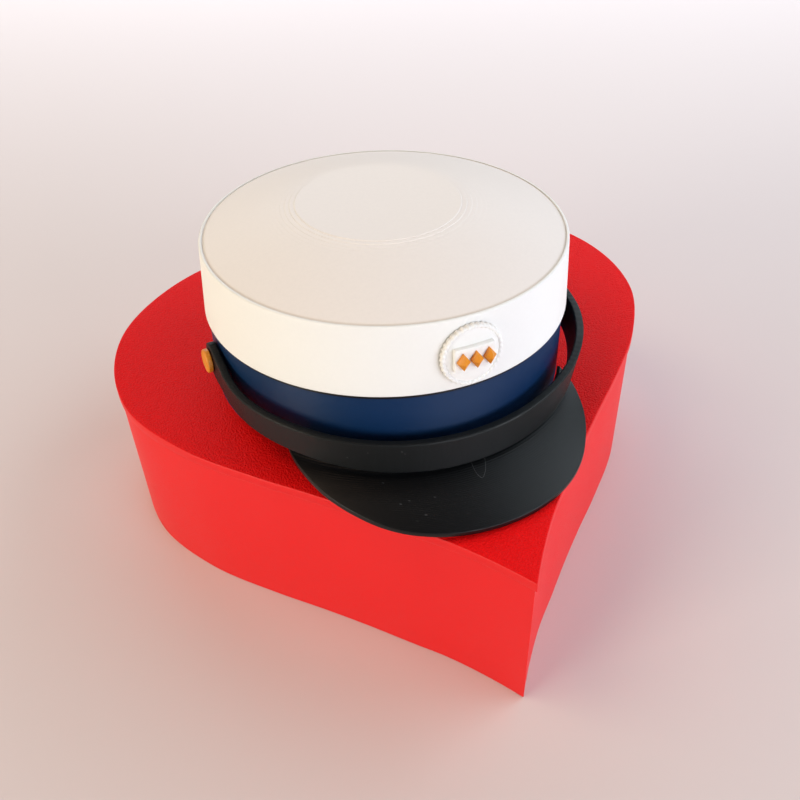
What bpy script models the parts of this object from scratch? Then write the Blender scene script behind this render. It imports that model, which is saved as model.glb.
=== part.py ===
"""A gift-sized student cap resting on a heart-shaped lidded box.

The origin is on the surface that the box stands on, under the middle of the
band's foot. The cap's front faces -Y. It leans a little, as it stands on the
front of its peak and the back of its band.
"""
import math

import bmesh
import bpy
import numpy as np
from mathutils import Euler, Vector

MM = 0.001

# Clearance kept between two pieces that touch
GAP = 0.3 * MM

# Heart-shaped box
BOX_WIDTH = 164.4 * MM
BOX_LENGTH = 162.0 * MM
BOX_HEIGHT = 46.8 * MM
BOX_WALL = 2.4 * MM
BOX_FLOOR = 2.4 * MM
LID_THICKNESS = 3.0 * MM
LID_OVERHANG = 0.5 * MM
LID_RIM_DEPTH = 3.0 * MM
LID_RIM_WALL = 1.6 * MM
BOX_EDGE = 0.5 * MM

# Where the box stands under the cap
BOX_TIP_AHEAD = 89.0 * MM
BOX_TIP_ASIDE = -2.3 * MM
BOX_TURN = math.radians(-4.8)

# How far the cap leans to its left on the lid
CAP_SIDE_LEAN = math.radians(2.4)

# Crown
CROWN_DIAMETER = 99.4 * MM
CROWN_HEIGHT = 19.4 * MM
CROWN_TAPER = 0.9 * MM
CROWN_WALL = 1.6 * MM
CROWN_RIM = 0.9 * MM
CROWN_LIP = 1.6 * MM
CROWN_LEDGE = 1.6 * MM
CROWN_EDGE = 0.7 * MM
DOME_RISE = 7.0 * MM
DOME_FLAT_DIAMETER = 43.6 * MM
DOME_THICKNESS = 1.8 * MM
DOME_SEAT = 2.2 * MM
DOME_FOOT_WIDTH = 3.6 * MM
SEAM_DEPTH = 0.4 * MM

# Band
BAND_HEIGHT = 21.9 * MM
BAND_INSET = 0.8 * MM
BAND_WALL = 2.0 * MM
SPIGOT_HEIGHT = 3.0 * MM
SPIGOT_WALL = 1.5 * MM

# Peak
PEAK_PROJECTION = 21.8 * MM
PEAK_HALF_SPAN = math.radians(54.5)
PEAK_THICKNESS = 1.4 * MM
PEAK_DROP = 6.4 * MM
PEAK_BEND = 1.3

# Chin strap
STRAP_WIDTH = 9.4 * MM
STRAP_THICKNESS = 2.2 * MM
STRAP_HALF_SPAN = math.radians(88.5)
STRAP_TOP_MARGIN = 2.6 * MM
STRAP_STANDOFF = 3.5 * MM
STRAP_EDGE = 0.5 * MM
STRAP_TIP_WIDTH = 0.9 * MM

# Buttons
BUTTON_DIAMETER = 6.4 * MM
BUTTON_THICKNESS = 1.4 * MM
BUTTON_EDGE = 0.4 * MM
BUTTON_DISH = 0.2 * MM
BUTTON_BOSS_DIAMETER = 2.2 * MM

# Badge on the crown's front
COCKADE_DIAMETER = 16.6 * MM
COCKADE_THICKNESS = 1.3 * MM
COCKADE_TOOTH = 0.45 * MM
COCKADE_TEETH = 36
COCKADE_BORDER = 1.3 * MM
COCKADE_RECESS = 0.3 * MM
COCKADE_HUB_DIAMETER = 1.6 * MM
COCKADE_HEIGHT = 9.5 * MM
PLAQUE_WIDTH = 10.6 * MM
PLAQUE_HEIGHT = 6.2 * MM
PLAQUE_THICKNESS = 1.0 * MM
PLAQUE_EDGE = 0.2 * MM
STUD_WIDTH = 3.1 * MM
STUD_HEIGHT = 4.4 * MM
STUD_BASE = 0.6 * MM
STUD_PEAK = 1.1 * MM
STUD_TIP_WIDTH = 0.4 * MM
STUD_SPACE = 0.2 * MM

# How finely curves are cut into flats
ROUND_STEPS = 72
HALF_HEART_STEPS = 44
STRAP_STEPS = 44
STRAP_TIP_STEPS = 7
PEAK_STEPS = 28
PEAK_RINGS = 5
DOME_RINGS = 6
BUTTON_STEPS = 24
PLAQUE_STEPS = 6
CURVE_STEPS = 12
COCKADE_BACK_RINGS = 3
COCKADE_FLOOR_RINGS = 3
LEAN_STEPS = 40

# Faces that meet at more than this stay sharp
SHARP_ANGLE = math.radians(30)

# The cap's lean back is looked for between none and this
MOST_LEAN = math.radians(45)

# How far in a rounded edge's middle lies, as a share of its size
EDGE_MIDDLE = 1 - math.sqrt(0.5)

# One side of the heart, from its tip to its cleft: shares of half the width and of the length
HEART_SIDE = (
    {"across": 0.000, "from_tip": 0.000},
    {"across": 0.083, "from_tip": 0.061},
    {"across": 0.177, "from_tip": 0.120},
    {"across": 0.269, "from_tip": 0.168},
    {"across": 0.386, "from_tip": 0.230},
    {"across": 0.502, "from_tip": 0.288},
    {"across": 0.642, "from_tip": 0.355},
    {"across": 0.845, "from_tip": 0.467},
    {"across": 0.976, "from_tip": 0.592},
    {"across": 0.993, "from_tip": 0.713},
    {"across": 0.933, "from_tip": 0.817},
    {"across": 0.751, "from_tip": 0.924},
    {"across": 0.578, "from_tip": 0.977},
    {"across": 0.413, "from_tip": 1.000},
    {"across": 0.243, "from_tip": 0.985},
    {"across": 0.097, "from_tip": 0.929},
    {"across": 0.000, "from_tip": 0.864},
)

# Half the peak's outline, from the front to its end: shares of its half span and projection
PEAK_SIDE = (
    {"turn": 0.000, "reach": 1.000},
    {"turn": 0.165, "reach": 0.981},
    {"turn": 0.275, "reach": 0.940},
    {"turn": 0.367, "reach": 0.888},
    {"turn": 0.477, "reach": 0.792},
    {"turn": 0.569, "reach": 0.684},
    {"turn": 0.697, "reach": 0.522},
    {"turn": 0.826, "reach": 0.332},
    {"turn": 0.927, "reach": 0.178},
    {"turn": 1.000, "reach": 0.050},
)

# Half the strap, from the front to its button: shares of its half span, rise and stand-off
STRAP_SIDE = (
    {"turn": 0.000, "rise": 0.00, "standoff": 1.00},
    {"turn": 0.226, "rise": 0.05, "standoff": 1.00},
    {"turn": 0.430, "rise": 0.21, "standoff": 1.00},
    {"turn": 0.565, "rise": 0.36, "standoff": 0.95},
    {"turn": 0.655, "rise": 0.43, "standoff": 0.86},
    {"turn": 0.734, "rise": 0.50, "standoff": 0.73},
    {"turn": 0.802, "rise": 0.57, "standoff": 0.52},
    {"turn": 0.859, "rise": 0.66, "standoff": 0.32},
    {"turn": 0.915, "rise": 0.80, "standoff": 0.12},
    {"turn": 1.000, "rise": 1.00, "standoff": 0.00},
)

# Colours as linear red, green and blue, with roughness and metallic
FINISHES = {
    "white_plastic": {"colour": (0.88, 0.86, 0.80), "roughness": 0.55, "metallic": 0.0},
    "navy_plastic": {"colour": (0.012, 0.030, 0.105), "roughness": 0.35, "metallic": 0.0},
    "black_plastic": {"colour": (0.010, 0.010, 0.011), "roughness": 0.45, "metallic": 0.0},
    "charcoal_plastic": {"colour": (0.028, 0.030, 0.028), "roughness": 0.55, "metallic": 0.0},
    "gold_plastic": {"colour": (0.73, 0.31, 0.04), "roughness": 0.40, "metallic": 0.1},
    "red_plastic": {"colour": (0.80, 0.020, 0.025), "roughness": 0.50, "metallic": 0.0},
}

# Height of the lid's top over the surface that the box stands on
LID_TOP = BOX_HEIGHT + GAP + LID_THICKNESS

# Heights over the band's foot, along the cap's axis
CROWN_BOTTOM = BAND_HEIGHT + GAP
CROWN_TOP = CROWN_BOTTOM + CROWN_HEIGHT
STRAP_MIDDLE = PEAK_THICKNESS + GAP + STRAP_WIDTH / 2
STRAP_END_MIDDLE = BAND_HEIGHT - STRAP_TOP_MARGIN - STRAP_WIDTH / 2

# Radii about the cap's axis
CROWN_RADIUS = CROWN_DIAMETER / 2
RIM_RADIUS = CROWN_RADIUS - CROWN_TAPER
SEAT_RADIUS = RIM_RADIUS - CROWN_RIM
BAND_RADIUS = CROWN_RADIUS - BAND_INSET
CROWN_MOUTH = BAND_RADIUS - BAND_WALL
BUTTON_BACK = BAND_RADIUS + GAP + STRAP_THICKNESS + GAP


def material(finish):
    """The material of a named finish, made once."""
    known = bpy.data.materials.get(finish)
    if known:
        return known
    values = FINISHES[finish]
    made = bpy.data.materials.new(finish)
    made.use_nodes = True
    shader = made.node_tree.nodes["Principled BSDF"]
    shader.inputs["Base Color"].default_value = (*values["colour"], 1.0)
    shader.inputs["Roughness"].default_value = values["roughness"]
    shader.inputs["Metallic"].default_value = values["metallic"]
    return made


def skin(name, rings, finish, joined=False):
    """Skin a solid over rings of equal count: its end rings are filled, or joined to each other."""
    mesh = bpy.data.meshes.new(name)
    bm = bmesh.new()
    loops = [[bm.verts.new(point) for point in ring] for ring in rings]
    count = len(loops[0])
    pairs = list(zip(loops, loops[1:]))
    if joined:
        pairs.append((loops[-1], loops[0]))
    for lower, upper in pairs:
        for i in range(count):
            j = (i + 1) % count
            bm.faces.new((lower[i], lower[j], upper[j], upper[i]))
    if not joined:
        bm.faces.new(loops[0])
        bm.faces.new(loops[-1])
    bmesh.ops.recalc_face_normals(bm, faces=bm.faces)
    bm.to_mesh(mesh)
    bm.free()
    mesh.materials.append(material(finish))
    mesh.shade_smooth()
    mesh.set_sharp_from_angle(angle=SHARP_ANGLE)
    made = bpy.data.objects.new(name, mesh)
    bpy.context.collection.objects.link(made)
    return made


def smooth_curve(points):
    """A smooth curve through the points, as cubic spans."""
    points = np.asarray(points, float)
    spans = np.linalg.norm(np.diff(points, axis=0), axis=1)[:, None]
    chords = np.diff(points, axis=0) / spans
    inner = (chords[:-1] * spans[1:] + chords[1:] * spans[:-1]) / (spans[:-1] + spans[1:])
    tangents = np.vstack([2 * chords[:1] - inner[:1], inner, 2 * chords[-1:] - inner[-1:]])
    share = np.linspace(0, 1, CURVE_STEPS, endpoint=False)[:, None]
    curve = []
    for i in range(len(spans)):
        start, end = points[i], points[i + 1]
        leave, arrive = tangents[i] * spans[i], tangents[i + 1] * spans[i]
        curve.append(
            start * (2 * share**3 - 3 * share**2 + 1)
            + leave * (share**3 - 2 * share**2 + share)
            + end * (3 * share**2 - 2 * share**3)
            + arrive * (share**3 - share**2)
        )
    curve.append(points[-1:])
    return np.vstack(curve)


def even_column(table, column, turn):
    """A column of a table at a share of the half span, smooth and the same on both sides."""
    rows = [(row["turn"], row[column]) for row in table]
    mirrored = [(-share, value) for share, value in rows[:0:-1]]
    line = smooth_curve(mirrored + rows)
    return float(np.interp(turn, line[:, 0], line[:, 1]))


def evenly(points, count):
    """The same line with count points at equal distances along it."""
    along = np.concatenate([[0], np.cumsum(np.linalg.norm(np.diff(points, axis=0), axis=1))])
    places = np.linspace(0, along[-1], count)
    return np.column_stack([np.interp(places, along, points[:, k]) for k in (0, 1)])


def meet_middle(points):
    """Cut or lengthen the start of one side's line so that it begins on the middle line."""
    first = np.nonzero(points[:, 0] > 0)[0][0]
    if first > 0:
        before, after = points[first - 1], points[first]
    else:
        before, after = points[0], points[1]
    share = -before[0] / (after[0] - before[0])
    middle = before + share * (after - before)
    return np.vstack([[0.0, middle[1]], points[first:]])


def heart_ring(inset, height):
    """The outline of the lid, drawn in by inset, as a closed loop at a height."""
    half = BOX_WIDTH / 2
    side = smooth_curve([(row["across"] * half, row["from_tip"] * BOX_LENGTH) for row in HEART_SIDE])
    run = np.gradient(side, axis=0)
    run /= np.linalg.norm(run, axis=1)[:, None]
    inward = np.column_stack([-run[:, 1], run[:, 0]])
    moved = side + inset * inward
    moved = meet_middle(meet_middle(moved)[::-1])[::-1]
    right = evenly(moved, HALF_HEART_STEPS)
    left = right[-2:0:-1] * (-1, 1)
    return [(x, y, height) for x, y in np.vstack([right, left])]


def around(radius, turn, height):
    """A place at a radius and height, at an angle from the front."""
    return (radius * math.sin(turn), -radius * math.cos(turn), height)


def circle(radius, height, steps=ROUND_STEPS):
    """A level circle about the cap's axis."""
    return [around(radius, 2 * math.pi * i / steps, height) for i in range(steps)]


def turned(name, profile, finish, joined=False, steps=ROUND_STEPS):
    """A round solid from a profile of (radius, height) places."""
    return skin(name, [circle(radius, height, steps) for radius, height in profile], finish, joined)


def add_box_body():
    edge = BOX_EDGE
    outside = LID_OVERHANG
    inside = LID_OVERHANG + BOX_WALL
    rings = [
        heart_ring(outside + edge, 0),
        heart_ring(outside, edge),
        heart_ring(outside, BOX_HEIGHT - edge),
        heart_ring(outside + edge, BOX_HEIGHT),
        heart_ring(inside - edge, BOX_HEIGHT),
        heart_ring(inside, BOX_HEIGHT - edge),
        heart_ring(inside, BOX_FLOOR),
    ]
    return skin("box_body", rings, "red_plastic")


def add_box_lid():
    """A flat lid with a rim that centres it in the box."""
    edge = BOX_EDGE
    under = BOX_HEIGHT + GAP
    rim = LID_OVERHANG + BOX_WALL + GAP
    rim_bottom = under - LID_RIM_DEPTH
    rings = [
        heart_ring(edge, LID_TOP),
        heart_ring(0, LID_TOP - edge),
        heart_ring(0, under + edge / 2),
        heart_ring(edge / 2, under),
        heart_ring(rim, under),
        heart_ring(rim, rim_bottom + edge),
        heart_ring(rim + edge, rim_bottom),
        heart_ring(rim + LID_RIM_WALL, rim_bottom),
        heart_ring(rim + LID_RIM_WALL, under),
    ]
    return skin("box_lid", rings, "red_plastic")


def add_crown():
    """The drum wall with an inward lip at its foot and a ledge that carries the dome."""
    edge = CROWN_EDGE
    half_rim = CROWN_RIM / 2
    ledge_top = CROWN_TOP - DOME_SEAT
    ledge_radius = SEAT_RADIUS - CROWN_LEDGE
    wall = CROWN_RADIUS - CROWN_WALL
    upper_wall = RIM_RADIUS - CROWN_WALL
    profile = [
        (CROWN_MOUTH, CROWN_BOTTOM),
        (CROWN_RADIUS - edge, CROWN_BOTTOM),
        (CROWN_RADIUS - EDGE_MIDDLE * edge, CROWN_BOTTOM + EDGE_MIDDLE * edge),
        (CROWN_RADIUS, CROWN_BOTTOM + edge),
        (RIM_RADIUS, CROWN_TOP - edge),
        (RIM_RADIUS - EDGE_MIDDLE * half_rim, CROWN_TOP - EDGE_MIDDLE * edge),
        (RIM_RADIUS - half_rim, CROWN_TOP),
        (SEAT_RADIUS, CROWN_TOP),
        (SEAT_RADIUS, ledge_top),
        (ledge_radius, ledge_top),
        (ledge_radius, ledge_top - CROWN_LEDGE),
        (upper_wall, ledge_top - CROWN_LEDGE - (upper_wall - ledge_radius)),
        (wall, CROWN_BOTTOM + CROWN_LIP),
        (CROWN_MOUTH, CROWN_BOTTOM + CROWN_LIP),
    ]
    return turned("crown", profile, "white_plastic", joined=True)


def dome_height(radius, rim_radius):
    """Height of the dome over its rim: flat in the middle, then a sphere's fall to the rim."""
    flat = DOME_FLAT_DIAMETER / 2
    return DOME_RISE * (rim_radius**2 - max(radius, flat) ** 2) / (rim_radius**2 - flat**2)


def add_crown_top():
    """The dome set in the crown's rim, an even shell that follows its own top."""
    rim_radius = SEAT_RADIUS - GAP
    rim_top = CROWN_TOP - SEAM_DEPTH
    seat = CROWN_TOP - DOME_SEAT + GAP
    flat = DOME_FLAT_DIAMETER / 2
    inner = rim_radius - DOME_FOOT_WIDTH
    under_radii = np.linspace(flat, inner, DOME_RINGS - 2)
    profile = [(r, rim_top + dome_height(r, rim_radius) - DOME_THICKNESS) for r in under_radii]
    profile += [(inner, seat), (rim_radius, seat)]
    over_radii = np.linspace(rim_radius, flat, DOME_RINGS)
    profile += [(r, rim_top + dome_height(r, rim_radius)) for r in over_radii]
    return turned("crown_top", profile, "white_plastic")


def add_band():
    """The ring under the crown, with the spigot that centres the crown on it."""
    inside = BAND_RADIUS - BAND_WALL
    spigot = CROWN_MOUTH - GAP
    spigot_top = CROWN_BOTTOM + SPIGOT_HEIGHT
    spigot_inside = spigot - SPIGOT_WALL
    shoulder = BAND_HEIGHT - BAND_WALL
    profile = [
        (inside, 0),
        (BAND_RADIUS, 0),
        (BAND_RADIUS, BAND_HEIGHT),
        (spigot, BAND_HEIGHT),
        (spigot, spigot_top),
        (spigot_inside, spigot_top),
        (spigot_inside, shoulder),
        (inside, shoulder - (inside - spigot_inside)),
    ]
    return turned("band", profile, "navy_plastic", joined=True)


def strap_inner(share):
    """Radius of the strap's inner face at a share of its half span, level past its ends."""
    share = min(max(share, -1.0), 1.0)
    return BAND_RADIUS + GAP + STRAP_STANDOFF * even_column(STRAP_SIDE, "standoff", share)


def strap_height(share):
    """Height of the strap's middle line at a share of its half span, level past its ends."""
    share = min(max(share, -1.0), 1.0)
    rise = STRAP_END_MIDDLE - STRAP_MIDDLE
    return STRAP_MIDDLE + rise * even_column(STRAP_SIDE, "rise", share)


def add_chin_strap():
    """A strip round the front with rounded ends, each centred under a button."""
    half = STRAP_WIDTH / 2
    edge = STRAP_EDGE
    reach = half / (BAND_RADIUS + GAP + STRAP_THICKNESS)
    start = math.asin(STRAP_TIP_WIDTH / STRAP_WIDTH)
    tips = np.linspace(start, math.pi / 2, STRAP_TIP_STEPS)[:-1]
    middle = np.linspace(-STRAP_HALF_SPAN, STRAP_HALF_SPAN, STRAP_STEPS)
    past = STRAP_HALF_SPAN + reach * np.cos(tips)
    turns = np.concatenate([-past, middle, past[::-1]])
    widths = np.concatenate([np.sin(tips), np.ones(STRAP_STEPS), np.sin(tips[::-1])])
    rings = []
    for turn, width in zip(turns, widths):
        share = turn / STRAP_HALF_SPAN
        inner = strap_inner(share)
        outer = inner + STRAP_THICKNESS
        low = strap_height(share) - half * width
        high = strap_height(share) + half * width
        bevel = min(edge, half * width / 2)
        section = [
            (inner, low + bevel), (inner + bevel, low), (outer - bevel, low), (outer, low + bevel),
            (outer, high - bevel), (outer - bevel, high), (inner + bevel, high), (inner, high - bevel),
        ]
        rings.append([around(radius, turn, height) for radius, height in section])
    return skin("chin_strap", rings, "charcoal_plastic")


def add_button(name, side):
    """A dished disc over one end of the strap, with its back to the strap's outer face."""
    radius = BUTTON_DIAMETER / 2
    edge = BUTTON_EDGE
    profile = [
        (radius, 0),
        (radius, BUTTON_THICKNESS - edge),
        (radius - edge, BUTTON_THICKNESS),
        (radius - 2 * edge, BUTTON_THICKNESS - BUTTON_DISH),
        (BUTTON_BOSS_DIAMETER / 2, BUTTON_THICKNESS),
    ]
    button = turned(name, profile, "gold_plastic", steps=BUTTON_STEPS)
    turn = side * STRAP_HALF_SPAN
    button.location = around(BUTTON_BACK, turn, strap_height(1.0))
    button.rotation_euler = (math.pi / 2, 0, turn)
    return button


def peak_sections():
    """The peak's sections from end to end, each as its (radius, height) places and its angle."""
    root = BAND_RADIUS + GAP
    found = []
    for share in np.linspace(-1, 1, PEAK_STEPS + 1):
        edge = BAND_RADIUS + PEAK_PROJECTION * even_column(PEAK_SIDE, "reach", share)
        radii = np.linspace(root, edge, PEAK_RINGS)
        fall = PEAK_DROP * ((radii - root) / (BAND_RADIUS + PEAK_PROJECTION - root)) ** PEAK_BEND
        upper = [(r, PEAK_THICKNESS - down) for r, down in zip(radii, fall)]
        lower = [(r, -down) for r, down in zip(radii, fall)]
        found.append((upper + lower[::-1], share * PEAK_HALF_SPAN))
    return found


def add_peak():
    """The visor: a curved sheet from the band's foot that falls forwards."""
    rings = [[around(r, turn, z) for r, z in section] for section, turn in peak_sections()]
    return skin("peak", rings, "black_plastic")


def on_crown(across, up, out):
    """A place on the crown's front: across and up from the badge's middle, out from its face."""
    height = COCKADE_HEIGHT + up
    share = (height - CROWN_EDGE) / (CROWN_HEIGHT - 2 * CROWN_EDGE)
    radius = CROWN_RADIUS - CROWN_TAPER * share + GAP + out
    return around(radius, across / (CROWN_RADIUS + GAP), CROWN_BOTTOM + height)


def add_cockade():
    """A round badge that follows the crown's face, with a rope-like edge round a shallow recess."""
    turns = [math.pi * i / COCKADE_TEETH for i in range(2 * COCKADE_TEETH)]
    hub = COCKADE_HUB_DIAMETER / 2
    outer = COCKADE_DIAMETER / 2
    inner = outer - COCKADE_BORDER
    floor = COCKADE_THICKNESS - COCKADE_RECESS

    def ring(radius, out, tooth=0.0):
        radii = [radius - (i % 2) * tooth for i in range(len(turns))]
        return [on_crown(r * math.cos(t), r * math.sin(t), out) for r, t in zip(radii, turns)]

    back_radii = np.linspace(hub, outer, COCKADE_BACK_RINGS, endpoint=False)
    floor_radii = np.linspace(inner - COCKADE_RECESS, hub, COCKADE_FLOOR_RINGS)
    rings = [ring(radius, 0) for radius in back_radii]
    rings += [ring(outer, out, COCKADE_TOOTH) for out in (0, COCKADE_THICKNESS)]
    rings.append(ring(inner, COCKADE_THICKNESS))
    rings += [ring(radius, floor) for radius in floor_radii]
    return skin("cockade", rings, "white_plastic")


def add_plaque():
    """A raised rectangle that follows the cockade's recess."""
    half = PLAQUE_HEIGHT / 2
    edge = PLAQUE_EDGE
    floor = COCKADE_THICKNESS - COCKADE_RECESS + GAP
    top = floor + PLAQUE_THICKNESS
    section = [
        (-half, floor), (half, floor), (half, top - edge),
        (half - edge, top), (edge - half, top), (-half, top - edge),
    ]
    across = np.linspace(-PLAQUE_WIDTH / 2, PLAQUE_WIDTH / 2, PLAQUE_STEPS + 1)
    rings = [[on_crown(x, up, out) for up, out in section] for x in across]
    return skin("cockade_plaque", rings, "white_plastic")


def add_stud(name, place):
    """A pointed lozenge on the plaque, at a place in their row."""
    floor = COCKADE_THICKNESS - COCKADE_RECESS + GAP + PLAQUE_THICKNESS + GAP
    middle = place * (STUD_WIDTH + STUD_SPACE)
    corners = [(STUD_WIDTH / 2, 0), (0, STUD_HEIGHT / 2), (-STUD_WIDTH / 2, 0), (0, -STUD_HEIGHT / 2)]
    layers = [(1.0, 0), (1.0, STUD_BASE), (STUD_TIP_WIDTH / STUD_WIDTH, STUD_BASE + STUD_PEAK)]
    rings = [
        [on_crown(middle + x * scale, y * scale, floor + out) for x, y in corners]
        for scale, out in layers
    ]
    return skin(name, rings, "gold_plastic")


def lowest(places, turn):
    """The least height among places after a turn."""
    return min((turn @ Vector(place)).z for place in places)


def cap_stance():
    """The lean back and the height at which the peak's front and the band's back meet the lid."""
    band_foot = circle(BAND_RADIUS, 0)
    peak_foot = []
    for section, turn in peak_sections():
        radius, height = section[PEAK_RINGS]
        peak_foot.append(around(radius, turn, height))
    low, high = 0.0, MOST_LEAN
    for _ in range(LEAN_STEPS):
        back = (low + high) / 2
        lean = Euler((-back, CAP_SIDE_LEAN, 0)).to_matrix()
        if lowest(peak_foot, lean) < lowest(band_foot, lean):
            low = back
        else:
            high = back
    return back, LID_TOP + GAP - lowest(band_foot, lean)


def stand(name, pieces, location, rotation):
    """Parent pieces to an empty of their own that is placed and turned."""
    carrier = bpy.data.objects.new(name, None)
    bpy.context.collection.objects.link(carrier)
    carrier.location = location
    carrier.rotation_euler = rotation
    for piece in pieces:
        piece.parent = carrier


def build():
    for old in list(bpy.data.objects):
        bpy.data.objects.remove(old, do_unlink=True)
    box = [add_box_body(), add_box_lid()]
    stand("box", box, (BOX_TIP_ASIDE, -BOX_TIP_AHEAD, 0), (0, 0, BOX_TURN))
    cap = [
        add_crown(),
        add_crown_top(),
        add_band(),
        add_chin_strap(),
        add_button("strap_button_left", 1),
        add_button("strap_button_right", -1),
        add_peak(),
        add_cockade(),
        add_plaque(),
        add_stud("badge_stud_left", 1),
        add_stud("badge_stud_middle", 0),
        add_stud("badge_stud_right", -1),
    ]
    back, height = cap_stance()
    stand("cap", cap, (0, 0, height), (-back, CAP_SIDE_LEAN, 0))


build()
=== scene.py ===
import math

import bpy
import numpy as np
from mathutils import Euler, Matrix, Vector


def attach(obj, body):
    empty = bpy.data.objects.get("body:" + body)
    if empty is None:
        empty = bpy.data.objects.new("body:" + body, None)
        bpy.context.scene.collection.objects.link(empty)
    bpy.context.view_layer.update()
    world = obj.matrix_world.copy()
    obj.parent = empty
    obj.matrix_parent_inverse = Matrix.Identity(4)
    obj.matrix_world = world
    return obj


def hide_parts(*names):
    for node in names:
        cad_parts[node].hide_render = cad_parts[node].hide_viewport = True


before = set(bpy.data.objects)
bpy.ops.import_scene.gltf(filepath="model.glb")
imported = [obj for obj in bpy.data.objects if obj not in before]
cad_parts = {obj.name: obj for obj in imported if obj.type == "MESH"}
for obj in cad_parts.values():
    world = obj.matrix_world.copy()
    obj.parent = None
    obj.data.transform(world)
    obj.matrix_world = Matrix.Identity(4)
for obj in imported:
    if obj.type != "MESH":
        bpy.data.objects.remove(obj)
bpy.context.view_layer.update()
mm = 0.001
curveSteps = 24  # points to each span of a smooth curve
print("frame loaded:", len(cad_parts), "nodes")

# Where the cap stands, as the CAD has it: height of the band's foot in mm, and its lean in degrees
capPose = {"height": 53.6237, "back": 2.9213, "side": 2.4}

# Where the heart box stands: its tip in mm, and its turn in degrees
boxPose = {"tipAside": -2.3, "tipAhead": 89.0, "turn": -4.8}

capLean = (-math.radians(capPose["back"]), math.radians(capPose["side"]), 0)
capTurn = np.array(Euler(capLean).to_matrix())
capShift = np.array([0, 0, capPose["height"]])
boxTurn = np.array(Euler((0, 0, math.radians(boxPose["turn"]))).to_matrix())
boxShift = np.array([boxPose["tipAside"], -boxPose["tipAhead"], 0])


def capPlace(points):
    # mm about the cap's own axis, turned by its lean, to metres in the frame
    return (points @ capTurn.T + capShift) * mm


def boxPlace(points):
    # mm from the heart's tip, turned as the box is, to metres in the frame
    return (points @ boxTurn.T + boxShift) * mm


def polar(radius, turn, height):
    # a place at a radius and a height, at an angle from the front
    radius, turn, height = np.broadcast_arrays(radius, turn, height)
    return np.stack([radius * np.sin(turn), -radius * np.cos(turn), height], axis=-1)


def surface(name, grid, finish, stands=(), closedRows=False, sharp=40, marks=None):
    # grid[i, j]: columns close on themselves, rows close too or end in fans round their middles.
    # stands names the CAD node it stands for, sharp is the least angle of a crease in degrees, and
    # marks are amounts at each grid point that the finish reads as attributes
    rows, cols = grid.shape[:2]
    index = np.arange(rows * cols).reshape(rows, cols)
    lower = index if closedRows else index[:-1]
    upper = np.roll(index, -1, axis=0) if closedRows else index[1:]
    quads = np.stack([lower, np.roll(lower, -1, 1), np.roll(upper, -1, 1), upper], axis=-1).reshape(-1, 4)
    points, triangles = grid.reshape(-1, 3), np.zeros((0, 3), int)
    if not closedRows:
        points = np.vstack([points, grid[0].mean(0), grid[-1].mean(0)])
        first, last, base = index[0], index[-1], rows * cols
        startFan = np.stack([np.roll(first, -1), first, np.full(cols, base)], axis=-1)
        endFan = np.stack([last, np.roll(last, -1), np.full(cols, base + 1)], axis=-1)
        triangles = np.vstack([startFan, endFan])
    # six times the volume, summed over all faces: below zero, they point in
    a, b, c, d = (points[quads[:, k]] for k in range(4))
    volume = np.sum(a * (np.cross(b, c) + np.cross(c, d)))
    a, b, c = (points[triangles[:, k]] for k in range(3))
    if volume + np.sum(a * np.cross(b, c)) < 0:
        quads, triangles = quads[:, ::-1], triangles[:, ::-1]
    corners = np.concatenate([quads.ravel(), triangles.ravel()])
    counts = np.concatenate([np.full(len(quads), 4), np.full(len(triangles), 3)])
    mesh = bpy.data.meshes.new(name)
    mesh.vertices.add(len(points))
    mesh.vertices.foreach_set("co", points.astype(np.float32).ravel())
    mesh.loops.add(len(corners))
    mesh.loops.foreach_set("vertex_index", corners.astype(np.int32))
    mesh.polygons.add(len(counts))
    mesh.polygons.foreach_set("loop_start", (np.cumsum(counts) - counts).astype(np.int32))
    mesh.update(calc_edges=True)
    mesh.validate()
    mesh.shade_smooth()
    mesh.set_sharp_from_angle(angle=math.radians(sharp))
    for mark, amount in (marks or {}).items():
        flat = np.zeros(len(points), np.float32)
        flat[:rows * cols] = np.broadcast_to(amount, (rows, cols)).ravel()
        mesh.attributes.new(mark, "FLOAT", "POINT").data.foreach_set("value", flat)
    mesh.materials.append(finish)
    piece = bpy.data.objects.new(name, mesh)
    bpy.context.scene.collection.objects.link(piece)
    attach(piece, "root")
    if stands:
        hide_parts(stands)
    return piece


def smoothCurve(points, steps):
    # cubic spans through the points: each point's slope weighs its two chords by the other's length
    points = np.asarray(points, float)
    spans = np.linalg.norm(np.diff(points, axis=0), axis=1)[:, None]
    chords = np.diff(points, axis=0) / spans
    inner = (chords[:-1] * spans[1:] + chords[1:] * spans[:-1]) / (spans[:-1] + spans[1:])
    tangents = np.vstack([2 * chords[:1] - inner[:1], inner, 2 * chords[-1:] - inner[-1:]])
    t = np.linspace(0, 1, steps, endpoint=False)[None, :, None]
    start, end = points[:-1, None], points[1:, None]
    leave, arrive = (tangents[:-1] * spans)[:, None], (tangents[1:] * spans)[:, None]
    curve = start * (2 * t**3 - 3 * t**2 + 1) + leave * (t**3 - 2 * t**2 + t)
    curve = curve + end * (3 * t**2 - 2 * t**3) + arrive * (t**3 - t**2)
    return np.vstack([curve.reshape(-1, points.shape[1]), points[-1:]])


def mirrored(table, share):
    # a table's smooth value at shares of the half span, the same on both sides of the front
    rows = np.asarray(table, float)
    line = smoothCurve(np.vstack([rows[:0:-1] * (-1, 1), rows]), curveSteps)
    return np.interp(share, line[:, 0], line[:, 1])


def evenly(points, count):
    # the same line with count points at equal distances along it
    along = np.concatenate([[0], np.cumsum(np.linalg.norm(np.diff(points, axis=0), axis=1))])
    places = np.linspace(0, along[-1], count)
    return np.stack([np.interp(places, along, points[:, k]) for k in range(points.shape[1])], axis=-1)


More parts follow.
